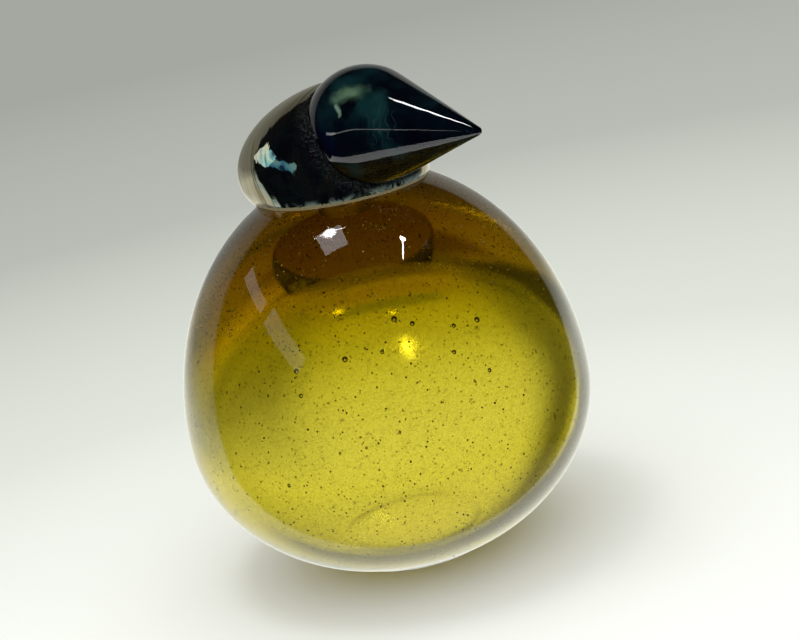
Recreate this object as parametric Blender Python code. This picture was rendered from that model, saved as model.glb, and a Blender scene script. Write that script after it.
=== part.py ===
# Glass bird ornament: a hollow amber bulb of two gathers, the plug that closes its blowing hole,
# a dark neck collar, and a cased head drop drawn out into a beak.
# Metres, +Z up, beak towards +X, origin at the centre of the flat foot.
import math

import bmesh
import bpy
from mathutils import Matrix

# Body bulb, outside
BELLY_RADIUS = 0.0460
BELLY_HEIGHT = 0.0346
FOOT_RADIUS = 0.0181
NECK_RADIUS = 0.0202
NECK_HEIGHT = 0.0836

# Walls of the two gathers
OUTER_WALL = 0.0030
OUTER_RIM = 0.0060
INNER_WALL = 0.0025
INNER_FLOOR = 0.0035
SEAM_FOOT_RADIUS = 0.0172
CAVITY_FOOT_RADIUS = 0.0160

# Plug in the blowing hole
PLUG_RADIUS = 0.0092
PLUG_LENGTH = 0.0205
PLUG_SAG = 0.0015

# Neck collar: a squashed ball leaning back, on a low round foot
COLLAR_HALF_LENGTH = 0.0230
COLLAR_HALF_WIDTH = 0.0200
COLLAR_HALF_HEIGHT = 0.01205
COLLAR_LEAN = math.radians(17.5)
COLLAR_SETBACK = 0.0012
COLLAR_RISE = 0.0109
COLLAR_FOOT_LIP = 0.0006
COLLAR_FOOT_HEIGHT = 0.0090

# Head drop
HEAD_RADIUS = 0.0132
HEAD_FORWARD = 0.0140
HEAD_SIDE = -0.0040
HEAD_BED = 0.0013
BEAK_REACH = 0.0277
BEAK_TIP_RADIUS = 0.0013
BEAK_DROOP = math.radians(6.5)

# Dark core inside the head, and the stem that joins it to the collar
CORE_RADIUS = 0.0095
CORE_REACH = 0.0165
CORE_TIP_RADIUS = 0.0012
STEM_RADIUS = 0.0055

# Gap left between neighbouring pieces of glass
CLEARANCE = 0.0003

# Fineness of the turned shapes
BODY_SEGMENTS = 40
HEAD_SEGMENTS = 32
OVAL_STEPS = 9
BALL_STEPS = 10
TIP_STEPS = 4
MERGE_DISTANCE = 1e-7
SHARP_ANGLE = math.radians(35)


def oval_arc(belly_radius, end_radius, end_height):
    # Quarter-oval from the belly to an end where the radius is end_radius.
    last = math.acos(end_radius / belly_radius)
    half_height = (end_height - BELLY_HEIGHT) / math.sin(last)
    points = []
    for step in range(OVAL_STEPS + 1):
        angle = last * step / OVAL_STEPS
        points.append((belly_radius * math.cos(angle), BELLY_HEIGHT + half_height * math.sin(angle)))
    return points


def level_gap(belly_radius, end_radius, end_height):
    # Level step between two ovals that keeps CLEARANCE square to their sides where they end.
    last = math.acos(end_radius / belly_radius)
    half_height = (end_height - BELLY_HEIGHT) / math.sin(last)
    return CLEARANCE * math.hypot(1.0, belly_radius * math.tan(last) / half_height)


def bulb_side(belly_radius, foot_radius, foot_height, neck_radius, neck_height):
    # Side of a bulb from its neck edge down to the edge of its flat foot.
    upper = oval_arc(belly_radius, neck_radius, neck_height)
    lower = oval_arc(belly_radius, foot_radius, foot_height)
    return upper[::-1] + lower[1:]


def drop_side(ball_radius, reach, tip_radius, hole_radius):
    # Side of a drop about its own axis, from the beak tip back to the hole in its back.
    # With no hole it ends at the rear pole of its ball.
    meet = math.pi / 2 - math.asin((ball_radius - tip_radius) / reach)
    end = math.pi - math.asin(hole_radius / ball_radius)
    points = []
    for step in range(TIP_STEPS + 1):
        angle = meet * step / TIP_STEPS
        points.append((tip_radius * math.sin(angle), reach + tip_radius * math.cos(angle)))
    for step in range(BALL_STEPS + 1):
        angle = meet + (end - meet) * step / BALL_STEPS
        points.append((ball_radius * math.sin(angle), ball_radius * math.cos(angle)))
    return points


def turned(name, profile, segments):
    # Solid of revolution about Z.
    shape = bmesh.new()
    row = [shape.verts.new((radius, 0.0, height)) for radius, height in profile]
    edges = [shape.edges.new(pair) for pair in zip(row, row[1:])]
    bmesh.ops.spin(
        shape, geom=row + edges, cent=(0, 0, 0), axis=(0, 0, 1),
        angle=2 * math.pi, steps=segments, use_merge=True,
    )
    return finished(name, shape)


def squashed_ball(name, half_sizes, lean, centre):
    # Ball with its own half-length, half-width and half-height, leaning about Y.
    shape = bmesh.new()
    bmesh.ops.create_uvsphere(
        shape, u_segments=BODY_SEGMENTS, v_segments=BODY_SEGMENTS // 2 - 1, radius=1.0,
    )
    size = Matrix.Diagonal((*half_sizes, 1.0))
    place = Matrix.Translation(centre) @ Matrix.Rotation(-lean, 4, "Y")
    bmesh.ops.transform(shape, matrix=place @ size, verts=shape.verts)
    return finished(name, shape)


def finished(name, shape):
    bmesh.ops.remove_doubles(shape, verts=shape.verts, dist=MERGE_DISTANCE)
    bmesh.ops.recalc_face_normals(shape, faces=shape.faces)
    mesh = bpy.data.meshes.new(name)
    shape.to_mesh(mesh)
    shape.free()
    mesh.shade_smooth()
    mesh.set_sharp_from_angle(angle=SHARP_ANGLE)
    piece = bpy.data.objects.new(name, mesh)
    bpy.context.collection.objects.link(piece)
    return piece


def glass(name, colour, roughness, transmission):
    material = bpy.data.materials.new(name)
    material.use_nodes = True
    shader = material.node_tree.nodes["Principled BSDF"]
    shader.inputs["Base Color"].default_value = (*colour, 1.0)
    shader.inputs["Roughness"].default_value = roughness
    shader.inputs["Metallic"].default_value = 0.0
    shader.inputs["Transmission Weight"].default_value = transmission
    return material


def combine(piece, other, operation):
    # The other shape is joined to the piece or cut out of it, and isn't itself a piece.
    cut = piece.modifiers.new(other.name, "BOOLEAN")
    cut.operation = operation
    cut.solver = "EXACT"
    cut.object = other
    other.hide_render = True
    other.display_type = "WIRE"


def body_outer_gather():
    outside = bulb_side(BELLY_RADIUS, FOOT_RADIUS, 0.0, NECK_RADIUS, NECK_HEIGHT)
    inside = bulb_side(
        BELLY_RADIUS - OUTER_WALL, SEAM_FOOT_RADIUS, OUTER_WALL, NECK_RADIUS - OUTER_RIM, NECK_HEIGHT,
    )
    profile = [(0.0, OUTER_WALL)] + inside[::-1] + outside + [(0.0, 0.0)]
    piece = turned("body_outer_gather", profile, BODY_SEGMENTS)
    piece.data.materials.append(glass("amber_outer", (0.55, 0.43, 0.03), 0.03, 0.9))


def body_inner_gather():
    seam_height = OUTER_WALL + CLEARANCE
    seam_neck_radius = NECK_RADIUS - OUTER_RIM
    outside = bulb_side(
        BELLY_RADIUS - OUTER_WALL - CLEARANCE,
        SEAM_FOOT_RADIUS - CLEARANCE,
        seam_height,
        seam_neck_radius - level_gap(BELLY_RADIUS - OUTER_WALL, seam_neck_radius, NECK_HEIGHT),
        NECK_HEIGHT,
    )
    floor = seam_height + INNER_FLOOR
    hole_radius = PLUG_RADIUS + CLEARANCE
    cavity = bulb_side(
        BELLY_RADIUS - OUTER_WALL - CLEARANCE - INNER_WALL,
        CAVITY_FOOT_RADIUS,
        floor,
        hole_radius,
        NECK_HEIGHT - PLUG_LENGTH,
    )
    hole = [(hole_radius, NECK_HEIGHT)]
    profile = [(0.0, floor)] + cavity[::-1] + hole + outside + [(0.0, seam_height)]
    piece = turned("body_inner_gather", profile, BODY_SEGMENTS)
    piece.data.materials.append(glass("amber_inner", (0.45, 0.33, 0.02), 0.03, 0.9))


def neck_plug():
    bottom = NECK_HEIGHT - PLUG_LENGTH
    profile = [(0.0, NECK_HEIGHT), (PLUG_RADIUS, NECK_HEIGHT)]
    for step in range(TIP_STEPS + 1):
        angle = math.pi / 2 * step / TIP_STEPS
        profile.append((PLUG_RADIUS * math.cos(angle), bottom - PLUG_SAG * math.sin(angle)))
    piece = turned("neck_plug", profile, HEAD_SEGMENTS)
    piece.data.materials.append(glass("amber_plug", (0.40, 0.30, 0.02), 0.03, 0.9))


def head_axis():
    axis = bpy.data.objects.new("head_axis", None)
    bpy.context.collection.objects.link(axis)
    # The ball of the head keeps a bed of collar glass below it, whatever its radius.
    axis.location = (HEAD_FORWARD, HEAD_SIDE, NECK_HEIGHT + HEAD_BED + HEAD_RADIUS)
    axis.rotation_euler = (0.0, math.pi / 2 + BEAK_DROOP, 0.0)
    return axis


def head_socket(axis):
    side = drop_side(HEAD_RADIUS + CLEARANCE, BEAK_REACH, BEAK_TIP_RADIUS + CLEARANCE, 0.0)
    socket = turned("head_socket", side, HEAD_SEGMENTS)
    socket.parent = axis
    return socket


def neck_collar(axis):
    seat = NECK_HEIGHT + CLEARANCE
    ball_size = (COLLAR_HALF_LENGTH, COLLAR_HALF_WIDTH, COLLAR_HALF_HEIGHT)
    ball_centre = (-COLLAR_SETBACK, 0.0, NECK_HEIGHT + COLLAR_RISE)
    piece = squashed_ball("neck_collar", ball_size, COLLAR_LEAN, ball_centre)
    foot_radius = NECK_RADIUS - COLLAR_FOOT_LIP
    foot_size = (foot_radius, foot_radius, COLLAR_FOOT_HEIGHT)
    foot = squashed_ball("collar_foot", foot_size, 0.0, (0.0, 0.0, seat))
    below = bmesh.new()
    bmesh.ops.create_cube(below, size=4 * BELLY_RADIUS)
    bmesh.ops.translate(below, vec=(0.0, 0.0, seat - 2 * BELLY_RADIUS), verts=below.verts)
    seat_cut = finished("collar_seat", below)
    combine(piece, foot, "UNION")
    combine(piece, seat_cut, "DIFFERENCE")
    combine(piece, head_socket(axis), "DIFFERENCE")
    piece.data.materials.append(glass("dark_lustre", (0.012, 0.016, 0.018), 0.08, 0.0))


def head_casing(axis):
    hole_radius = STEM_RADIUS + CLEARANCE
    outside = drop_side(HEAD_RADIUS, BEAK_REACH, BEAK_TIP_RADIUS, hole_radius)
    hollow = drop_side(CORE_RADIUS + CLEARANCE, CORE_REACH, CORE_TIP_RADIUS + CLEARANCE, hole_radius)
    piece = turned("head_casing", outside + hollow[::-1], HEAD_SEGMENTS)
    piece.parent = axis
    piece.data.materials.append(glass("clear_casing", (0.85, 0.90, 0.90), 0.02, 1.0))


def head_core(axis):
    side = drop_side(CORE_RADIUS, CORE_REACH, CORE_TIP_RADIUS, STEM_RADIUS)
    widest = math.asin(STEM_RADIUS / HEAD_RADIUS)
    for step in range(TIP_STEPS + 1):
        angle = widest * (1 - step / TIP_STEPS)
        side.append((HEAD_RADIUS * math.sin(angle), -HEAD_RADIUS * math.cos(angle)))
    piece = turned("head_core", side, HEAD_SEGMENTS)
    piece.parent = axis
    piece.data.materials.append(glass("dark_blue_core", (0.008, 0.020, 0.045), 0.05, 0.2))


def build():
    for item in list(bpy.data.objects):
        bpy.data.objects.remove(item, do_unlink=True)
    body_outer_gather()
    body_inner_gather()
    neck_plug()
    axis = head_axis()
    neck_collar(axis)
    head_casing(axis)
    head_core(axis)
    bpy.context.view_layer.update()


build()
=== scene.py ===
# Glass bird: a seeded amber bulb, a dark lustre collar and a cased head drop drawn out into a beak.
# Metres, +Z up, beak towards +X, standing on its flat foot.
import math
import random

import bpy
from mathutils import Matrix, Vector


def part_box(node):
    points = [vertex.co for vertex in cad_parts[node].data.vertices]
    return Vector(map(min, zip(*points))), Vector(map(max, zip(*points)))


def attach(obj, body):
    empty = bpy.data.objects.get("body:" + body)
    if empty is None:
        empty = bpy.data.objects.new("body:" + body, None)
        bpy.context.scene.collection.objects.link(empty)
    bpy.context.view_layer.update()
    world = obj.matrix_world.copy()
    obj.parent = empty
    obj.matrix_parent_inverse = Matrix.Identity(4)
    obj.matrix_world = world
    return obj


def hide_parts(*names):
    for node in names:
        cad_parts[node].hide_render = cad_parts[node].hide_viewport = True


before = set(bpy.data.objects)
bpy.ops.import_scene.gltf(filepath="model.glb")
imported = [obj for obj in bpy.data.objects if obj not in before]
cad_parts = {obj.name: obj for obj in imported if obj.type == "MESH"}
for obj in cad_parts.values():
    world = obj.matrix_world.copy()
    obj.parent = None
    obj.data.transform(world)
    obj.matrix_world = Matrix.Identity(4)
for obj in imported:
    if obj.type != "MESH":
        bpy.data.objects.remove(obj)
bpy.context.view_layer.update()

print("frame loaded:", ", ".join(sorted(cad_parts)))


# Bench tools

def clearSelection():
    if bpy.context.object and bpy.context.object.mode != "OBJECT":
        bpy.ops.object.mode_set(mode="OBJECT")
    bpy.ops.object.select_all(action="DESELECT")


def pick(*pieces):
    clearSelection()
    for piece in pieces:
        piece.select_set(True)
    bpy.context.view_layer.objects.active = pieces[0]


def startEdit(piece, selected="SELECT"):
    pick(piece)
    bpy.ops.object.mode_set(mode="EDIT")
    bpy.ops.mesh.select_all(action=selected)


def endEdit():
    bpy.ops.object.mode_set(mode="OBJECT")


def named(name):
    piece = bpy.context.object
    piece.name = name
    piece.data.name = name
    return piece


def finishWith(piece, kind, **settings):
    pick(piece)
    modifier = piece.modifiers.new(kind.title(), kind)
    for key, value in settings.items():
        setattr(modifier, key, value)
    bpy.ops.object.modifier_apply(modifier=modifier.name)


def smoothOver(piece, levels=2):
    finishWith(piece, "SUBSURF", levels=levels, render_levels=levels)
    pick(piece)
    bpy.ops.object.shade_smooth()


def turnProfile(name, profile, steps):
    # The profile is drawn as (radius, height) points and spun round Z.
    clearSelection()
    bpy.ops.mesh.primitive_plane_add(size=0.001)
    piece = named(name)
    bpy.ops.object.mode_set(mode="EDIT")
    bpy.ops.mesh.merge(type="CENTER")
    bpy.ops.transform.translate(value=(profile[0][0], 0, profile[0][1]))
    for (radius, height), (nextRadius, nextHeight) in zip(profile, profile[1:]):
        move = (nextRadius - radius, 0, nextHeight - height)
        bpy.ops.mesh.extrude_region_move(TRANSFORM_OT_translate={"value": move})
    bpy.ops.mesh.select_all(action="SELECT")
    bpy.ops.mesh.spin(steps=steps, angle=math.tau, center=(0, 0, 0), axis=(0, 0, 1))
    bpy.ops.mesh.select_all(action="SELECT")
    bpy.ops.mesh.remove_doubles(threshold=1e-6)
    bpy.ops.mesh.normals_make_consistent(inside=False)
    endEdit()
    return piece


# Finishing tools

def wire(tree, made, inputs):
    # A socket among the inputs is wired in, anything else is set on the node's own socket.
    for key, value in inputs.items():
        if isinstance(value, bpy.types.NodeSocket):
            tree.links.new(value, made.inputs[key])
        else:
            made.inputs[key].default_value = value


def node(tree, kind, inputs, **settings):
    made = tree.nodes.new(kind)
    for key, value in settings.items():
        setattr(made, key, value)
    wire(tree, made, inputs)
    return made


def newMaterial(name):
    material = bpy.data.materials.new(name)
    material.use_nodes = True
    tree = material.node_tree
    place = node(tree, "ShaderNodeTexCoord", {}).outputs["Object"]
    return material, tree, tree.nodes["Principled BSDF"], place


def maths(tree, operation, *values):
    return node(tree, "ShaderNodeMath", dict(enumerate(values)), operation=operation).outputs["Value"]


def vectorMaths(tree, operation, *values):
    made = node(tree, "ShaderNodeVectorMath", dict(enumerate(values)), operation=operation)
    givesNumber = operation in ("DOT_PRODUCT", "DISTANCE", "LENGTH")
    return made.outputs["Value" if givesNumber else "Vector"]


def noise(tree, place, scale, detail, roughness=0.5, distortion=0.0):
    return node(tree, "ShaderNodeTexNoise", {
        "Vector": place, "Scale": scale, "Detail": detail, "Roughness": roughness, "Distortion": distortion,
    }).outputs


def stretched(tree, place, scale, turn=(0, 0, 0)):
    made = node(tree, "ShaderNodeMapping", {"Vector": place, "Rotation": turn, "Scale": scale})
    return made.outputs["Vector"]


def fade(tree, value, edge, ends=(0.0, 1.0), ease="LINEAR"):
    # Runs from one end to the other while the value crosses the edge.
    return node(tree, "ShaderNodeMapRange", {
        "Value": value, "From Min": edge[0], "From Max": edge[1], "To Min": ends[0], "To Max": ends[1],
    }, interpolation_type=ease).outputs["Result"]


def nearTo(tree, place, centre, edge, squash=(1, 1, 1)):
    # One within the first distance of a point, falling to nothing at the second.
    offset = vectorMaths(tree, "SUBTRACT", place, centre)
    away = vectorMaths(tree, "LENGTH", vectorMaths(tree, "MULTIPLY", offset, squash))
    return fade(tree, away, edge, (1.0, 0.0), "SMOOTHSTEP")


def ramp(tree, factor, stops):
    made = node(tree, "ShaderNodeValToRGB", {"Fac": factor})
    elements = made.color_ramp.elements
    while len(elements) < len(stops):
        elements.new(0.5)
    for element, (place, colour) in zip(elements, stops):
        element.position = place
        element.color = (*colour, 1)
    return made.outputs["Color"]


def pickColour(tree, factor, one, other):
    mix = node(tree, "ShaderNodeMix", {"Factor": factor}, data_type="RGBA")
    wire(tree, mix, {6: one, 7: other})
    return mix.outputs[2]


def bumps(tree, height, depth):
    made = node(tree, "ShaderNodeBump", {"Height": height, "Distance": depth, "Strength": 1.0})
    return made.outputs["Normal"]


def tintGlass(tree, absorbed, perMetre):
    tint = node(tree, "ShaderNodeVolumeAbsorption", {"Color": (*absorbed, 1), "Density": perMetre})
    wire(tree, tree.nodes["Material Output"], {"Volume": tint.outputs["Volume"]})


# Amber bulb: one thick hollow bulb, fused from its gathers and plug, full of seeds

bodyLow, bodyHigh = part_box("body_outer_gather")
neckHeight = bodyHigh.z

amberBulb = {
    "proud": 0.0004,  # a little fuller than the frame's bulb
    "bellyHeight": 0.0346,
    "footRadius": 0.0181,
    "footFlat": 0.0006,  # what lies lower than this is pressed flat
    "neckRadius": 0.0202,
    "crownRadius": 0.0110,  # the bulb goes on up into the collar, as far as this
    "capShare": 0.6,
    "wall": 0.0034,
    "hollowFloor": 0.0030,
    "hollowFloorRadius": 0.0165,
    "hollowCapShare": 0.5,
    "hollowCeiling": 0.0724,
    "plugRadius": 0.0050,
    "plugSag": 0.0002,
    "plugCurve": [(0.0, 1.0), (0.45, 0.85), (0.8, 0.45), (0.96, 0.05)],  # shares of the radius and the sag
    "unevenness": 0.0004,
    "unevenSpan": 0.045,
    "turnSteps": 48,
    "ovalSteps": 12,
}

amberGlass = {
    "ior": 1.5,
    "absorbed": (0.876, 0.833, 0.12),
    "absorbedPerMetre": 450,
    "rippleSpan": 0.014,
    "rippleDepth": 0.00004,
    "rippleDistortion": 0.6,
    "innerRoughness": 0.085,
    "dustSpan": 0.0014,
    "dustSize": (0.06, 0.24),
    "dustEdge": (0.5, 1.1),
    "dustColour": (0.24, 0.21, 0.07, 1),
    "grainSpan": 0.00042,
    "grainShades": [(0.36, (0.74, 0.72, 0.58)), (0.58, (1.0, 1.0, 1.0))],
    "innerShade": (0.98, 0.98, 0.95, 1),
}

seeds = {
    "draw": 11,
    "stretch": 1.12,
    "skin": 0.0006,
    "margin": 0.003,  # none closer to the foot or the neck than this
    "lowBias": 1.35,  # more of them low down
    "smallBias": 2.2,  # and more of them small
    "fineCount": 3600,
    "fineRadius": (0.00010, 0.00026),
    "crownCount": 1000,
    "crownHeights": (0.0610, 0.0800),
    "coarseCount": 60,
    "coarseRadius": (0.00028, 0.00050),
    "ringed": [  # azimuth in degrees from the beak, height, radius
        (-42, 0.0615, 0.00062), (-37, 0.0600, 0.00050), (-25, 0.0575, 0.00045),
        (-17, 0.0570, 0.00060), (-28, 0.0530, 0.00045), (-59, 0.0565, 0.00060),
        (-48, 0.0565, 0.00042), (-74, 0.0555, 0.00055), (-73, 0.0510, 0.00045),
        (60, 0.0540, 0.00055), (95, 0.0470, 0.00060), (128, 0.0590, 0.00050),
        (171, 0.0500, 0.00060), (-150, 0.0560, 0.00055), (-118, 0.0430, 0.00050),
    ],
    "ringedDepth": 0.5,
    "fineTones": ("milkySeedSpeck", (0.09, 0.075, 0.018), (0.38, 0.34, 0.11)),
    # The paler copy for the crown is painted light: seeds catching the light against the darker top.
    "crownLitTones": ("crownLitSeedSpeck", (0.26, 0.24, 0.14), (0.62, 0.58, 0.42)),
    "toneScale": 900,
    "toneStops": (0.35, 0.70),
    "roughness": 0.7,
}

bellyRadius = (bodyHigh.x - bodyLow.x) / 2 + amberBulb["proud"]


def ovalReach(belly, endRadius, endHeight):
    last = math.acos(endRadius / belly)
    return last, (endHeight - amberBulb["bellyHeight"]) / math.sin(last)


def ovalPoints(belly, endRadius, endHeight):
    last, reach = ovalReach(belly, endRadius, endHeight)
    points = []
    for step in range(amberBulb["ovalSteps"] + 1):
        angle = last * step / amberBulb["ovalSteps"]
        points.append((belly * math.cos(angle), amberBulb["bellyHeight"] + reach * math.sin(angle)))
    return points


def bulbPoints(belly, neckRadius, neckAt, footRadius, footAt):
    upper = ovalPoints(belly, neckRadius, neckAt)
    lower = ovalPoints(belly, footRadius, footAt)
    return upper[::-1] + lower[1:]


def ovalRadius(height, belly, neckRadius, neckAt, footRadius, footAt):
    end = (neckRadius, neckAt) if height > amberBulb["bellyHeight"] else (footRadius, footAt)
    rise = (height - amberBulb["bellyHeight"]) / ovalReach(belly, *end)[1]
    return belly * math.sqrt(max(0.0, 1 - rise * rise))


def crownAt(radius):
    reach = ovalReach(bellyRadius, amberBulb["neckRadius"], neckHeight)[1]
    return amberBulb["bellyHeight"] + reach * math.sqrt(1 - (radius / bellyRadius) ** 2)


crownTop = crownAt(amberBulb["crownRadius"])
outerOval = (bellyRadius, amberBulb["crownRadius"], crownTop, amberBulb["footRadius"], 0.0)
hollowOval = (
    bellyRadius - amberBulb["wall"], amberBulb["plugRadius"], amberBulb["hollowCeiling"],
    amberBulb["hollowFloorRadius"], amberBulb["hollowFloor"],
)


def blowBulb():
    profile = [(0, crownTop), (amberBulb["crownRadius"] * amberBulb["capShare"], crownTop)]
    profile += bulbPoints(*outerOval)
    profile += [(amberBulb["footRadius"] * amberBulb["capShare"], 0), (0, 0)]
    bulb = turnProfile("amber_bulb", profile, amberBulb["turnSteps"])
    smoothOver(bulb)
    unevenness = bpy.data.textures.new("handBlownUnevenness", "CLOUDS")
    unevenness.noise_scale = amberBulb["unevenSpan"]
    unevenness.noise_depth = 0
    finishWith(
        bulb, "DISPLACE", texture=unevenness, strength=amberBulb["unevenness"], mid_level=0.5,
        texture_coords="LOCAL",
    )
    flattenFoot(bulb)
    return bulb


def flattenFoot(bulb):
    startEdit(bulb, "DESELECT")
    endEdit()
    for corner in bulb.data.vertices:
        corner.select = corner.co.z < amberBulb["footFlat"]
    bpy.ops.object.mode_set(mode="EDIT")
    bpy.ops.transform.resize(value=(1, 1, 0), center_override=(0, 0, 0))
    endEdit()


def blowHollow():
    ceiling, plug, sag = (amberBulb[key] for key in ("hollowCeiling", "plugRadius", "plugSag"))
    floor, floorRadius = amberBulb["hollowFloor"], amberBulb["hollowFloorRadius"]
    profile = [(plug * out, ceiling - sag * drop) for out, drop in amberBulb["plugCurve"]]
    profile += bulbPoints(*hollowOval)
    profile += [(floorRadius * amberBulb["hollowCapShare"], floor), (0, floor)]
    hollow = turnProfile("hollow", profile, amberBulb["turnSteps"])
    smoothOver(hollow)
    startEdit(hollow)
    bpy.ops.mesh.flip_normals()  # the glass lies outside the hollow
    endEdit()
    inside = hollow.data.attributes.new("insideFace", "FLOAT", "POINT")
    inside.data.foreach_set("value", [1.0] * len(hollow.data.vertices))
    return hollow


def blowSeed(name, fineness, finish, hollow):
    clearSelection()
    bpy.ops.mesh.primitive_ico_sphere_add(subdivisions=fineness, radius=1)
    seed = named(name)
    startEdit(seed)
    bpy.ops.transform.resize(value=(1, 1, seeds["stretch"]))
    if hollow:
        bpy.ops.mesh.flip_normals()  # air inside, glass outside
    endEdit()
    bpy.ops.object.shade_smooth()
    seed.data.materials.append(finish)
    return seed


def copySeed(seed, place, radius):
    copy = seed.copy()
    copy.data = seed.data.copy()
    copy.location = place
    copy.scale = (radius, radius, radius)
    bpy.context.collection.objects.link(copy)
    return copy


def placeInGlass(azimuth, height, depth):
    outer = ovalRadius(height, *outerOval) - seeds["skin"]
    inner = 0.0
    if amberBulb["hollowFloor"] - seeds["skin"] < height < amberBulb["hollowCeiling"] + seeds["skin"]:
        inner = ovalRadius(height, *hollowOval) + seeds["skin"]
    out = math.sqrt(inner ** 2 + (outer ** 2 - inner ** 2) * depth)
    return Vector((out * math.cos(azimuth), out * math.sin(azimuth), height))


def scatterSeeds(glass):
    # The finest seeds only scatter the light, the larger ones are true bubbles. Near the crown the fine seeds
    # take a paler copy of the speck finish, painted light for how they catch the light against the darker
    # top.
    draw = random.Random(seeds["draw"])
    fine = blowSeed("fineSeed", 1, speckFinish(*seeds["fineTones"]), hollow=False)
    crownLit = blowSeed("crownLitSeed", 1, speckFinish(*seeds["crownLitTones"]), hollow=False)
    coarse = blowSeed("coarseSeed", 2, glass, hollow=True)
    margin = seeds["margin"]
    copies = []
    for index in range(seeds["fineCount"] + seeds["coarseCount"]):
        isFine = index < seeds["fineCount"]
        azimuth = draw.uniform(0, math.tau)
        height = margin + (neckHeight - 2 * margin) * draw.random() ** seeds["lowBias"]
        place = placeInGlass(azimuth, height, draw.random())
        low, high = seeds["fineRadius"] if isFine else seeds["coarseRadius"]
        radius = low + (high - low) * draw.random() ** seeds["smallBias"]
        copies.append(copySeed(fine if isFine else coarse, place, radius))
    for azimuth, height, radius in seeds["ringed"]:
        place = placeInGlass(math.radians(azimuth), height, seeds["ringedDepth"])
        copies.append(copySeed(coarse, place, radius))
    for index in range(seeds["crownCount"]):
        place = placeInGlass(draw.uniform(0, math.tau), draw.uniform(*seeds["crownHeights"]), draw.random())
        copies.append(copySeed(crownLit, place, draw.uniform(*seeds["fineRadius"])))
    for seed in (fine, crownLit, coarse):
        bpy.data.objects.remove(seed)
    return copies


def amberFinish():
    # Bubbles too small to model are faint dots of dust and a fine grain in the glass.
    material, tree, shader, place = newMaterial("seededAmberGlass")
    inside = node(tree, "ShaderNodeAttribute", {}, attribute_name="insideFace").outputs["Fac"]
    cells = node(tree, "ShaderNodeTexVoronoi", {"Vector": place, "Scale": 1 / amberGlass["dustSpan"]}).outputs
    spread = node(tree, "ShaderNodeSeparateColor", {"Color": cells["Color"]}).outputs["Red"]
    size = fade(tree, spread, (0.0, 1.0), amberGlass["dustSize"])
    dot = fade(tree, maths(tree, "DIVIDE", cells["Distance"], size), amberGlass["dustEdge"], (1.0, 0.0))
    grain = noise(tree, place, 1 / amberGlass["grainSpan"], detail=1.0)["Fac"]
    shade = pickColour(tree, inside, ramp(tree, grain, amberGlass["grainShades"]), amberGlass["innerShade"])
    ripple = noise(
        tree, place, 1 / amberGlass["rippleSpan"], detail=1.0, distortion=amberGlass["rippleDistortion"],
    )["Fac"]
    wire(tree, shader, {
        "Base Color": pickColour(tree, dot, shade, amberGlass["dustColour"]),
        "Roughness": maths(tree, "MULTIPLY", inside, amberGlass["innerRoughness"]),
        "IOR": amberGlass["ior"],
        "Transmission Weight": 1,
        "Normal": bumps(tree, ripple, amberGlass["rippleDepth"]),
    })
    tintGlass(tree, amberGlass["absorbed"], amberGlass["absorbedPerMetre"])
    return material


def speckFinish(name, *tones):
    material, tree, shader, place = newMaterial(name)
    tone = noise(tree, place, seeds["toneScale"], detail=0.0)["Fac"]
    wire(tree, shader, {
        "Base Color": ramp(tree, tone, list(zip(seeds["toneStops"], tones))),
        "Roughness": seeds["roughness"],
        "Specular IOR Level": 0.0,
    })
    return material


bulb = blowBulb()
hollow = blowHollow()
amber = amberFinish()
for shell in (bulb, hollow):
    shell.data.materials.append(amber)
pick(bulb, hollow, *scatterSeeds(amber))
bpy.ops.object.join()
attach(bulb, "root")
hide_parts("body_outer_gather", "body_inner_gather", "neck_plug")
print("amber bulb blown:", len(bulb.data.polygons), "faces")


# Head drop: clear casing drawn out into the beak, over a dark core

headDrop = {
    "radius": 0.0132,
    "forward": 0.0140,
    "side": -0.0040,
    "rise": 0.0145,
    "reach": 0.0280,
    "tipRadius": 0.0010,
    "droop": math.radians(6.5),
    "turnSteps": 32,
    "ballSteps": 12,
    "tipSteps": 4,
    "ior": 1.5,
    "absorbed": (0.75, 0.9, 0.85),
    "absorbedPerMetre": 30,
    "cordScale": (60, 600, 600),  # drawn out towards the beak
    "cordShades": [(0.35, (0.90, 0.94, 0.93)), (0.55, (1.0, 1.0, 1.0))],
}

headCore = {
    "radius": 0.0113,
    "reach": 0.02565,
    "tipRadius": 0.0008,
    "lift": 0.0014,
    "droop": math.radians(8.95),
    "driftScale": 260,
    "drift": (0.005, 0.005, 0.005),
    "swirlScale": 90,
    "swirlShades": [
        (0.35, (0.0004, 0.0006, 0.0045)), (0.50, (0.001, 0.004, 0.008)),
        (0.60, (0.003, 0.018, 0.024)), (0.75, (0.006, 0.034, 0.040)),
    ],
    "spots": {  # middle, where it begins to fade and ends, squash, colour
        "blue": ((0.0098, -0.0138, 0.0972), (0.0010, 0.0065), (1, 1, 1), (0.0008, 0.0012, 0.016, 1)),
        "veil": ((0.0215, -0.0095, 0.1020), (0.0010, 0.0052), (1, 1, 1), (0.010, 0.052, 0.054, 1)),
        "cloud": ((0.0174, -0.0122, 0.1061), (0.0006, 0.0046), (1, 1, 1.7), (0.14, 0.25, 0.15, 1)),
        "shade": ((0.0177, -0.0126, 0.1033), (0.0006, 0.0024), (1, 1, 1), (0.0006, 0.0015, 0.004, 1)),
        "speck": ((0.0159, -0.0139, 0.1038), (0.0003, 0.0012), (1.4, 1.4, 0.7), (0.22, 0.36, 0.26, 1)),
    },
    "cords": (0.0220, -0.0078, 0.0990),
    "cordsEdge": (0.002, 0.0065),
    "cordSpacing": 0.0007,
    "cordWidth": 0.00011,
    "cordStrength": 0.8,
    "cordColour": (0.07, 0.15, 0.15, 1),
    "roughness": 0.6,
}

headCentre = Vector((headDrop["forward"], headDrop["side"], neckHeight + headDrop["rise"]))


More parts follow.
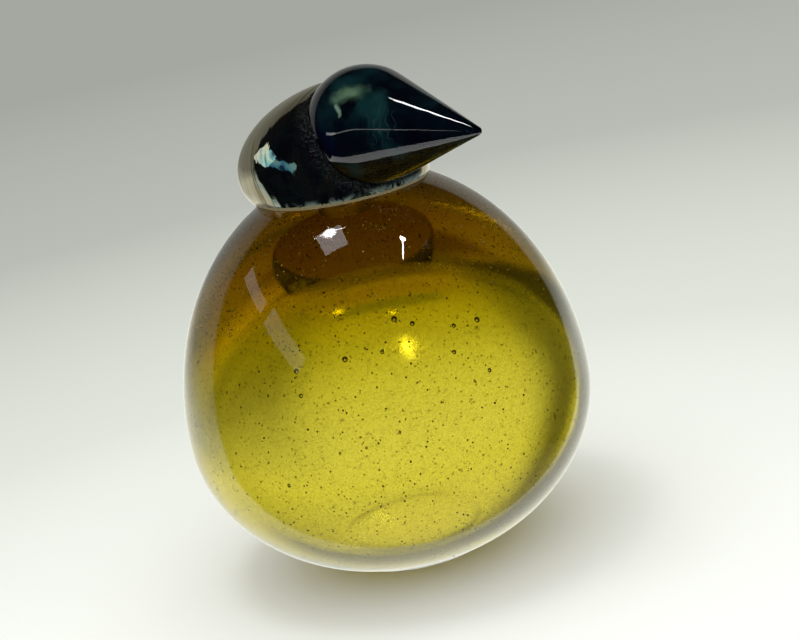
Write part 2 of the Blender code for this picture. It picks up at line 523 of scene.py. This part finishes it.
def dropPoints(ball, reach, tip):
    meet = math.pi / 2 - math.asin((ball - tip) / reach)
    points = []
    for step in range(headDrop["tipSteps"] + 1):
        angle = meet * step / headDrop["tipSteps"]
        points.append((tip * math.sin(angle), reach + tip * math.cos(angle)))
    for step in range(headDrop["ballSteps"] + 1):
        angle = meet + (math.pi - meet) * step / headDrop["ballSteps"]
        points.append((ball * math.sin(angle), ball * math.cos(angle)))
    return points


def aimAtBeak(piece, centre, droop):
    startEdit(piece)
    bpy.ops.transform.rotate(value=-(math.pi / 2 + droop), orient_axis="Y", center_override=(0, 0, 0))
    bpy.ops.transform.translate(value=centre)
    endEdit()


def drawDrop(name, ball, reach, tip, centre=headCentre, droop=headDrop["droop"]):
    drop = turnProfile(name, dropPoints(ball, reach, tip), headDrop["turnSteps"])
    smoothOver(drop)
    aimAtBeak(drop, centre, droop)
    return drop


def clearFinish():
    material, tree, shader, place = newMaterial("clearCasingGlass")
    drawn = stretched(tree, place, headDrop["cordScale"])
    cords = noise(tree, drawn, 1.0, detail=2.0)["Fac"]
    wire(tree, shader, {
        "Base Color": ramp(tree, cords, headDrop["cordShades"]),
        "Roughness": 0.0,
        "IOR": headDrop["ior"],
        "Transmission Weight": 1,
    })
    tintGlass(tree, headDrop["absorbed"], headDrop["absorbedPerMetre"])
    return material


def beakCords(tree, place, drifted):
    beak = (math.cos(headCore["droop"]), 0, -math.sin(headCore["droop"]))
    along = vectorMaths(tree, "DOT_PRODUCT", drifted, beak)
    away = maths(tree, "PINGPONG", along, headCore["cordSpacing"])
    cord = fade(tree, away, (0.0, headCore["cordWidth"]), (headCore["cordStrength"], 0.0))
    return maths(tree, "MULTIPLY", cord, nearTo(tree, place, headCore["cords"], headCore["cordsEdge"]))


def coreFinish():
    material, tree, shader, place = newMaterial("cloudedBlueGlass")
    drift = noise(tree, place, headCore["driftScale"], detail=2.0)["Color"]
    shift = vectorMaths(tree, "SUBTRACT", drift, (0.5, 0.5, 0.5))
    drifted = vectorMaths(tree, "MULTIPLY_ADD", shift, headCore["drift"], place)
    swirl = noise(tree, drifted, headCore["swirlScale"], detail=2.0)["Fac"]
    colour = ramp(tree, swirl, headCore["swirlShades"])
    for middle, edge, squash, tone in headCore["spots"].values():
        colour = pickColour(tree, nearTo(tree, drifted, middle, edge, squash), colour, tone)
    colour = pickColour(tree, beakCords(tree, place, drifted), colour, headCore["cordColour"])
    wire(tree, shader, {
        "Base Color": colour,
        "Roughness": headCore["roughness"],
        "Specular IOR Level": 0.0,
    })
    return material


casing = drawDrop("clear_head_drop", headDrop["radius"], headDrop["reach"], headDrop["tipRadius"])
casing.data.materials.append(clearFinish())
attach(casing, "root")
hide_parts("head_casing")

core = drawDrop(
    "dark_head_core", headCore["radius"], headCore["reach"], headCore["tipRadius"],
    headCentre + Vector((0, 0, headCore["lift"])), headCore["droop"],
)
core.data.materials.append(coreFinish())
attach(core, "root")
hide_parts("head_core")
print("head drop drawn")


# Collar: a lump of dark lustre glass squashed between the bulb and the head

lustreCollar = {
    "halfSizes": (0.0230, 0.0201, 0.0139),
    "lean": math.radians(15.8),
    "setback": 0.0009,
    "rise": 0.0098,
    "footHalfSizes": (0.0193, 0.0193, 0.0064),
    "footForward": 0.0005,
    "footAside": 0.0005,
    "footRise": 0.0020,
    "ballSegments": 64,
    "ballRings": 32,
    "sink": 0.0011,
    "bedSink": 0.0024,  # deeper under the head, so that the lustre closes below it
    "bedRadius": (0.0155, 0.0185),
    "domeShares": (  # of the belly's radius, closer together at the edge of the bed
        0.0, 0.24, 0.29, 0.335, 0.35, 0.367, 0.383, 0.40, 0.43, 0.47, 0.55, 0.70, 0.85, 0.95,
    ),
    "headBite": 0.0002,
    "voxel": 0.0004,
    "smoothing": {"factor": 0.5, "iterations": 8},
}

lustreFilm = {
    "ior": 3.6,
    "depth": 0.00004,
    "strandScale": (700, 50, 50),
    "strandShare": 0.45,
    "mottleScale": 220,
    "noiseRoughness": 0.6,
    "mottleDistortion": 0.8,
    "faceOn": [
        (0.58, (0.03, 0.10, 0.13)), (0.66, (0.26, 0.60, 0.70)), (0.74, (0.45, 0.85, 0.80)),
        (0.84, (0.80, 1.00, 0.78)), (0.95, (1.00, 0.95, 0.80)),
    ],
    "glance": [(0.36, (0.42, 0.36, 0.22)), (0.46, (0.92, 0.82, 0.54)), (0.66, (1.00, 0.93, 0.74))],
    "glanceEdge": (0.34, 0.52),
    "black": (0.0015, 0.0015, 0.0022, 1),
    "frostReach": (0.0134, 0.0162),  # distances from the middle of the head
    "frostScale": 3000,
    "frostEdge": (0.56, 0.66),
    "frostColour": (0.038, 0.036, 0.038, 1),
    # The lip bands are painted light: a painted reflection along the front of the foot, and a paler band
    # painted as if backlit round the sides and back.
    "lipReflection": (0.0012, 0.0025),  # heights above the neck
    "lipReflectionBreakup": (0.46, 0.56),
    "lipReflectionColour": (0.23, 0.30, 0.28, 1),
    "backlitLip": (0.0024, 0.0046),
    "backlitLipColour": (0.40, 0.385, 0.31, 1),
    "front": Vector((0.643, -0.766, 0)),
    "frontEdge": (0.0040, 0.0110),  # the painted backlit band ends as it comes round to the front
}

fusedJoint = {
    "sunk": -0.0007,  # heights above the crown of the bulb
    "edge": 0.0005,
    "mottleScale": 150,
    "mottleStops": (0.35, 0.65),
    "roughness": 0.6,
    "faceTones": ((0.86, 0.82, 0.70), (0.95, 0.92, 0.84)),
    # Both glows are painted light: emission standing in for the light that the fused face and its edge send
    # back into the amber.
    "facePaintedGlow": (0.33, 0.23, 0.18, 1),
    "edgeTones": ((0.010, 0.010, 0.008), (0.035, 0.037, 0.032)),
    "edgePaintedGlow": (0.150, 0.128, 0.070, 1),
}


def squashedBall(name, halfSizes, lean, centre):
    clearSelection()
    bpy.ops.mesh.primitive_uv_sphere_add(
        segments=lustreCollar["ballSegments"], ring_count=lustreCollar["ballRings"], radius=1,
    )
    ball = named(name)
    startEdit(ball)
    bpy.ops.transform.resize(value=halfSizes)
    bpy.ops.transform.rotate(value=lean, orient_axis="Y", center_override=(0, 0, 0))
    bpy.ops.transform.translate(value=centre)
    endEdit()
    return ball


def domeCutter():
    # The crown of the bulb, let into the collar's underside.
    profile = []
    near, far = lustreCollar["bedRadius"]
    sink, bedSink = lustreCollar["sink"], lustreCollar["bedSink"]
    for share in lustreCollar["domeShares"]:
        radius = share * bellyRadius
        bed = min(1.0, max(0.0, (far - radius) / (far - near)))
        profile.append((radius, min(crownTop, crownAt(radius)) - (sink + (bedSink - sink) * bed)))
    return turnProfile("neckDome", profile + [(0, profile[-1][1])], amberBulb["turnSteps"] * 2)


def squashCollar():
    collar = squashedBall(
        "lustre_collar", lustreCollar["halfSizes"], lustreCollar["lean"],
        (-lustreCollar["setback"], 0, neckHeight + lustreCollar["rise"]),
    )
    foot = squashedBall(
        "collarFoot", lustreCollar["footHalfSizes"], 0.0,
        (lustreCollar["footForward"], lustreCollar["footAside"], neckHeight + lustreCollar["footRise"]),
    )
    pick(collar, foot)
    bpy.ops.object.join()
    startEdit(collar)
    bpy.ops.mesh.convex_hull()  # one lump, with no waist between the ball and its foot
    endEdit()
    bite = lustreCollar["headBite"]
    socket = drawDrop(
        "headSocket", headDrop["radius"] - bite, headDrop["reach"] - bite, headDrop["tipRadius"],
    )
    dome = domeCutter()
    for cutter in (socket, dome):
        finishWith(collar, "BOOLEAN", operation="DIFFERENCE", solver="EXACT", object=cutter)
        bpy.data.objects.remove(cutter)
    finishWith(collar, "REMESH", mode="VOXEL", voxel_size=lustreCollar["voxel"])
    finishWith(collar, "SMOOTH", **lustreCollar["smoothing"])
    pick(collar)
    bpy.ops.object.shade_smooth()
    return collar


def frostByHead(tree, place):
    speckle = noise(tree, place, lustreFilm["frostScale"], detail=0.0)["Fac"]
    grain = fade(tree, speckle, lustreFilm["frostEdge"])
    return maths(tree, "MULTIPLY", grain, nearTo(tree, place, headCentre, lustreFilm["frostReach"]))


def lipBand(tree, place, heights):
    up = node(tree, "ShaderNodeSeparateXYZ", {"Vector": place}).outputs["Z"]
    return fade(tree, up, [neckHeight + height for height in heights], (1.0, 0.0))


def lipPaintedLight(tree, place, colour, mottle):
    # Painted light along the foot: a painted reflection broken into streaks in front, and a paler band round
    # the sides and the back, painted as if lit from behind.
    brokenUp = fade(tree, mottle, lustreFilm["lipReflectionBreakup"])
    lipReflection = maths(tree, "MULTIPLY", lipBand(tree, place, lustreFilm["lipReflection"]), brokenUp)
    colour = pickColour(tree, lipReflection, colour, lustreFilm["lipReflectionColour"])
    forward = vectorMaths(tree, "DOT_PRODUCT", place, lustreFilm["front"])
    behind = fade(tree, forward, lustreFilm["frontEdge"], (1.0, 0.0))
    backlitLip = maths(tree, "MULTIPLY", lipBand(tree, place, lustreFilm["backlitLip"]), behind)
    return pickColour(tree, backlitLip, colour, lustreFilm["backlitLipColour"])


def lustreFinish():
    # A metal film over black glass: teal where it is seen face on, beige and streaked at a glance.
    material, tree, shader, place = newMaterial("darkLustreGlass")
    along = stretched(tree, place, lustreFilm["strandScale"], (0, lustreCollar["lean"], 0))
    strands = noise(tree, along, 1.0, detail=3.0, roughness=lustreFilm["noiseRoughness"])["Fac"]
    mottle = noise(
        tree, place, lustreFilm["mottleScale"], detail=3.0,
        roughness=lustreFilm["noiseRoughness"], distortion=lustreFilm["mottleDistortion"],
    )["Fac"]
    film = maths(tree, "MULTIPLY_ADD", strands, lustreFilm["strandShare"], mottle)
    turned = node(tree, "ShaderNodeLayerWeight", {"Blend": 0.5}).outputs["Facing"]
    sheen = pickColour(
        tree, fade(tree, turned, lustreFilm["glanceEdge"]),
        ramp(tree, film, lustreFilm["faceOn"]), ramp(tree, strands, lustreFilm["glance"]),
    )
    colour = pickColour(tree, frostByHead(tree, place), lustreFilm["black"], lustreFilm["frostColour"])
    wire(tree, shader, {
        "Base Color": lipPaintedLight(tree, place, colour, mottle),
        "Specular Tint": sheen,
        "Roughness": 0.0,
        "IOR": lustreFilm["ior"],
        "Normal": bumps(tree, film, lustreFilm["depth"]),
    })
    return material


def fusedFinishWithPaintedGlow(name, tones, glow):
    material, tree, shader, place = newMaterial(name)
    mottle = noise(tree, place, fusedJoint["mottleScale"], detail=2.0)["Fac"]
    # The emission is a painted glow, not a lamp.
    wire(tree, shader, {
        "Base Color": ramp(tree, mottle, list(zip(fusedJoint["mottleStops"], tones))),
        "Emission Color": glow,
        "Emission Strength": 1.0,
        "Roughness": fusedJoint["roughness"],
        "Specular IOR Level": 0.0,
    })
    return material


def markFused(collar):
    # Where the lustre melts into the amber a pale layer shows from inside the bulb, with a thin edge. Both
    # carry a painted glow, standing in for the light they send back through the amber.
    finishes = collar.data.materials
    finishes.append(fusedFinishWithPaintedGlow("fusedLustreFace", fusedJoint["faceTones"], fusedJoint["facePaintedGlow"]))
    finishes.append(fusedFinishWithPaintedGlow("fusedEdgeLine", fusedJoint["edgeTones"], fusedJoint["edgePaintedGlow"]))
    for face in collar.data.polygons:
        out = math.hypot(face.center.x, face.center.y)
        above = face.center.z - min(crownTop, crownAt(out))
        if above < fusedJoint["edge"]:
            face.material_index = 1 if above < fusedJoint["sunk"] else 2


collar = squashCollar()
collar.data.materials.append(lustreFinish())
markFused(collar)
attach(collar, "root")
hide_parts("neck_collar")
print("collar squashed:", len(collar.data.polygons), "faces")


# Camera, at the angle that the bird is seen from

shot = {
    "azimuth": math.radians(40),
    "elevation": math.radians(15),
    "roll": math.radians(12.25),
    "distance": 0.36,
    "target": Vector((0.00472, 0.00396, 0.05196)),
    "focalPixels": 1593,
    "frameWidth": 799,
    "sensorWidth": 36,
    "nearest": 0.01,
}


def shotAxes():
    azimuth, elevation, roll = shot["azimuth"], shot["elevation"], shot["roll"]
    level = Vector((math.cos(azimuth), math.sin(azimuth), 0))
    back = Vector((
        math.sin(azimuth) * math.cos(elevation),
        -math.cos(azimuth) * math.cos(elevation),
        math.sin(elevation),
    ))
    upright = back.cross(level)
    right = level * math.cos(roll) - upright * math.sin(roll)
    return right, back


def aim(item, place, back, right):
    turn = Matrix((right, back.cross(right), back)).transposed()
    item.matrix_world = Matrix.Translation(place) @ turn.to_4x4()


def placeCamera():
    right, back = shotAxes()
    camera = bpy.data.objects.new("shotCamera", bpy.data.cameras.new("shotCamera"))
    bpy.context.collection.objects.link(camera)
    camera.data.sensor_width = shot["sensorWidth"]
    camera.data.lens = shot["focalPixels"] / shot["frameWidth"] * shot["sensorWidth"]
    camera.data.clip_start = shot["nearest"]
    aim(camera, shot["target"] + back * shot["distance"], back, right)
    bpy.context.scene.camera = camera


placeCamera()
print("camera placed")


# Studio: a pale floor, a bright sheet behind, a dark side in front, soft lamps and small glints

warm = (1.0, 0.85, 0.70)
brown = (1.0, 0.68, 0.50)

studio = {
    "floorRadius": 12.0,
    "floorSides": 96,
    "floorDrop": 0.0002,
    "floorRoughness": 0.9,
    "floorPaintedPool": [  # painted pool of light, pale near the bird: distance from the near side of the bird, floor colour
        (0.00, (0.96, 0.98, 0.94)), (0.12, (0.86, 0.88, 0.83)), (0.25, (0.64, 0.67, 0.61)),
        (0.60, (0.42, 0.44, 0.40)), (1.60, (0.34, 0.35, 0.32)),
    ],
    "floorPaintedPoolReach": 2.0,
    "floorPaintedPoolShift": 0.10,
    "domeLight": 1.10,
    "backdrop": [(0.0, (0.38, 0.39, 0.36)), (0.5, (0.30, 0.31, 0.28))],
    "sheetAway": Vector((0.739, -0.587, 0.331)),  # the bright sheet stands on the other side
    "sheetEdge": (-0.54, -0.48),
    "sheetTint": (1.0, 1.03, 0.95),
    "sheetMirrored": [  # height of the look from straight down to straight up, brightness
        (0.00, 1.15), (0.40, 1.10), (0.45, 0.72), (0.50, 0.40), (0.65, 0.38), (0.80, 0.22),
    ],
    "darkMirrored": [(0.00, 0.45), (0.10, 0.30), (0.22, 0.010)],  # the floor, then the dark side
    "sheetThrough": [
        (0.00, 0.22), (0.13, 0.26), (0.20, 1.12), (0.30, 1.28), (0.36, 1.20), (0.42, 1.12),
        (0.50, 0.95), (0.55, 1.00), (0.60, 1.00), (0.66, 1.00, warm), (0.722, 1.15, warm),
        (0.748, 0.47, brown), (0.82, 0.43, brown),
    ],
    "sheetThroughAside": [
        (0.00, 0.22), (0.13, 0.26), (0.20, 1.00), (0.30, 1.25), (0.36, 0.82), (0.42, 0.50),
        (0.50, 0.45), (0.57, 0.56), (0.66, 0.80), (0.74, 1.05, warm), (0.82, 2.00, warm),
    ],
    "darkThrough": 0.55,
    "glowTowards": Vector((-0.6225, 0.7826, 0)),  # where the sheet is brightest
    "glowEdge": (0.9880, 0.9990),
    "flagTowards": Vector((-0.259, 0.966, 0)),  # a narrow dark gap beside the sheet
    "flagEdge": (0.952, 0.985),
    "flagThrough": 0.15,
    "discTowards": Vector((-0.636, 0.772, 0)),  # a small dim disc on the sheet
    "discEdge": (0.9968, 0.9992),
    "discHeight": 0.6176,
    "discReach": (0.013, 0.023),
    "discThrough": (0.60, 0.66, 0.85, 1),
    "lampDistance": 0.62,
    "bounces": {"max_bounces": 28, "transmission_bounces": 28, "glossy_bounces": 8},
}

lamps = {  # two ends as directions from the bird, width, brightness, and a tint where it isn't white
    "windowLight": (Vector((-0.230, -0.180, 0.945)), Vector((-0.085, -0.020, 0.985)), 0.160, 6.0),
    "windowPane": (Vector((-0.185, -0.230, 0.945)), Vector((-0.040, -0.070, 0.985)), 0.160, 2.2),
    "sunSpot": (Vector((-0.205, -0.118, 0.965)), Vector((-0.130, -0.062, 0.985)), 0.050, 60.0),
    "sunHaze": (Vector((-0.215, -0.125, 0.960)), Vector((-0.120, -0.055, 0.985)), 0.075, 6.0),
    "sunRay": (Vector((-0.285, -0.175, 0.940)), Vector((-0.060, 0.010, 0.990)), 0.005, 14.0),
    "sunRayAcross": (Vector((-0.225, -0.020, 0.970)), Vector((-0.105, -0.160, 0.980)), 0.005, 14.0),
    "streakLight": (Vector((0.335, 0.220, 0.910)), Vector((0.500, 0.010, 0.870)), 0.008, 30.0),
    "streakHead": (Vector((0.330, 0.225, 0.910)), Vector((0.395, 0.150, 0.905)), 0.028, 60.0),
    "leftWindow": (Vector((-0.78, -0.21, 0.59)), Vector((-0.56, -0.58, 0.59)), 0.054, 0.8),
    "frontWindow": (Vector((-0.50, -0.64, 0.58)), Vector((-0.11, -0.92, 0.37)), 0.087, 0.7),
    "patchPale": (
        Vector((-0.868, -0.233, 0.438)), Vector((-0.657, -0.730, 0.191)), 0.190, 1.4, (1.0, 0.97, 0.88),
    ),
    "patchTeal": (
        Vector((-0.657, -0.730, 0.191)), Vector((-0.203, -0.953, -0.225)), 0.125, 0.5, (0.55, 0.85, 1.0),
    ),
    "headTable": (Vector((-0.857, 0.0, -0.514)), Vector((0.857, 0.0, -0.514)), 0.920, 1.3),
    "headStrip": (Vector((-0.57, -0.82, 0.09)), Vector((0.43, -0.88, 0.21)), 0.020, 1.5),
    "headBand": (Vector((-0.66, -0.74, 0.12)), Vector((-0.36, -0.92, 0.12)), 0.045, 2.2),
    "headGlint": (Vector((0.22, -0.10, 0.965)), Vector((0.31, -0.06, 0.95)), 0.065, 25.0),
    "starGlint": (Vector((-0.6350, 0.7692, -0.062)), Vector((-0.6330, 0.7708, -0.062)), 0.035, 16.0),
    "starGlow": (Vector((-0.6370, 0.7675, -0.062)), Vector((-0.6310, 0.7725, -0.062)), 0.090, 3.0),
    "leftGlint": (Vector((-0.6755, 0.6865, 0.269)), Vector((-0.6715, 0.6905, 0.269)), 0.022, 12.0),
    "smallGlint": (Vector((-0.6310, 0.7570, 0.167)), Vector((-0.6290, 0.7590, 0.167)), 0.012, 16.0),
}


def layFloor():
    clearSelection()
    bpy.ops.mesh.primitive_circle_add(
        vertices=studio["floorSides"], radius=studio["floorRadius"], fill_type="NGON",
        location=(0, 0, -studio["floorDrop"]),
    )
    floor = named("studio_floor")
    # The floor's colour is a painted pool of light: pale near the bird, darker further off.
    material, tree, shader, place = newMaterial("paleFloor")
    towards = shotAxes()[1]
    nearSide = Vector((towards.x, towards.y, 0)).normalized() * studio["floorPaintedPoolShift"]
    away = vectorMaths(tree, "DISTANCE", place, nearSide)
    stops = [(far / studio["floorPaintedPoolReach"], colour) for far, colour in studio["floorPaintedPool"]]
    wire(tree, shader, {
        "Base Color": ramp(tree, maths(tree, "DIVIDE", away, studio["floorPaintedPoolReach"]), stops),
        "Roughness": studio["floorRoughness"],
        "Specular IOR Level": 0.0,
    })
    floor.data.materials.append(material)
    floor.visible_glossy = False
    floor.visible_transmission = False
    return floor


def hangLamp(name, receiver, shape="RECTANGLE", seenBy="glossy"):
    start, end, width, brightness, *tint = lamps[name]
    first = shot["target"] + start.normalized() * studio["lampDistance"]
    last = shot["target"] + end.normalized() * studio["lampDistance"]
    long = last - first
    light = bpy.data.lights.new(name, "AREA")
    light.shape = shape
    light.size = long.length
    light.size_y = width
    fill = math.pi / 4 if shape == "ELLIPSE" else 1.0
    # A lamp shows as bright as its energy over four times its area.
    light.energy = 4 * brightness * long.length * width * fill
    if tint:
        light.color = tint[0]
    lamp = bpy.data.objects.new(name, light)
    bpy.context.collection.objects.link(lamp)
    back = ((first + last) / 2 - shot["target"]).normalized()
    aim(lamp, (first + last) / 2, back, (long - back * long.dot(back)).normalized())
    lamp.visible_camera = False
    lamp.visible_diffuse = seenBy == "diffuse"
    lamp.visible_glossy = seenBy == "glossy"
    lamp.visible_transmission = seenBy == "transmission"
    group = bpy.data.collections.new(name + "Receivers")
    group.objects.link(receiver)
    lamp.light_linking.receiver_collection = group


def sheetShades(stops):
    shades = []
    for place, level, *tint in stops:
        tone = tint[0] if tint else studio["sheetTint"]
        shades.append((place, tuple(level * part for part in tone)))
    return shades


def grey(level):
    return level, level, level, 1


def turnedTo(tree, look, subject):
    facing = vectorMaths(tree, "DOT_PRODUCT", look, studio[subject + "Towards"])
    return fade(tree, facing, studio[subject + "Edge"], ease="SMOOTHSTEP")


def dimDisc(tree, lookHeight, bearing):
    away = maths(tree, "ABSOLUTE", maths(tree, "SUBTRACT", lookHeight, studio["discHeight"]))
    level = fade(tree, away, studio["discReach"], (1.0, 0.0))
    return maths(tree, "MULTIPLY", level, turnedTo(tree, bearing, "disc"))


def lightStudio():
    # Matt surfaces are lit by an even dome. Gloss mirrors the bright sheet and the dark side,
    # and the glass shows the sheet through it.
    world = bpy.data.worlds.new("studioLight")
    bpy.context.scene.world = world
    world.use_nodes = True
    tree = world.node_tree
    look = node(tree, "ShaderNodeTexCoord", {}).outputs["Generated"]
    up = node(tree, "ShaderNodeSeparateXYZ", {"Vector": look}).outputs["Z"]
    lookHeight = fade(tree, up, (-1.0, 1.0))
    bearing = vectorMaths(tree, "NORMALIZE", vectorMaths(tree, "MULTIPLY", look, (1, 1, 0)))

    def shades(name):
        return ramp(tree, lookHeight, sheetShades(studio[name]))

    offSheet = vectorMaths(tree, "DOT_PRODUCT", look, studio["sheetAway"])
    offSheet = fade(tree, offSheet, studio["sheetEdge"], ease="SMOOTHSTEP")
    mirrored = pickColour(tree, offSheet, shades("sheetMirrored"), shades("darkMirrored"))
    onGlow = turnedTo(tree, bearing, "glow")
    through = pickColour(tree, onGlow, shades("sheetThroughAside"), shades("sheetThrough"))
    through = pickColour(tree, offSheet, through, grey(studio["darkThrough"]))
    through = pickColour(tree, turnedTo(tree, bearing, "flag"), through, grey(studio["flagThrough"]))
    through = pickColour(tree, dimDisc(tree, lookHeight, bearing), through, studio["discThrough"])
    path = node(tree, "ShaderNodeLightPath", {}).outputs
    dome = grey(studio["domeLight"])
    colour = pickColour(tree, path["Is Glossy Ray"], dome, mirrored)
    colour = pickColour(tree, path["Is Transmission Ray"], colour, through)
    colour = pickColour(tree, maths(tree, "GREATER_THAN", path["Diffuse Depth"], 0.5), colour, dome)
    colour = pickColour(tree, path["Is Camera Ray"], colour, ramp(tree, up, studio["backdrop"]))
    wire(tree, tree.nodes["Background"], {"Color": colour})


floor = layFloor()
lightStudio()
hangLamp("windowLight", floor, seenBy="diffuse")
hangLamp("windowPane", bulb)
for name in ("sunSpot", "sunHaze", "sunRay", "sunRayAcross", "streakHead"):
    hangLamp(name, bulb, "ELLIPSE")
for name in ("starGlint", "starGlow", "leftGlint", "smallGlint"):
    hangLamp(name, bulb, "ELLIPSE", seenBy="transmission")
for name in ("streakLight", "leftWindow", "frontWindow"):
    hangLamp(name, bulb)
for name in ("patchPale", "patchTeal"):
    hangLamp(name, collar)
for name in ("headStrip", "headBand", "headTable"):
    hangLamp(name, casing)
hangLamp("headGlint", casing, "ELLIPSE")

scene = bpy.context.scene
scene.view_settings.view_transform = "Standard"
for limit, count in studio["bounces"].items():
    setattr(scene.cycles, limit, count)
print("studio lit")
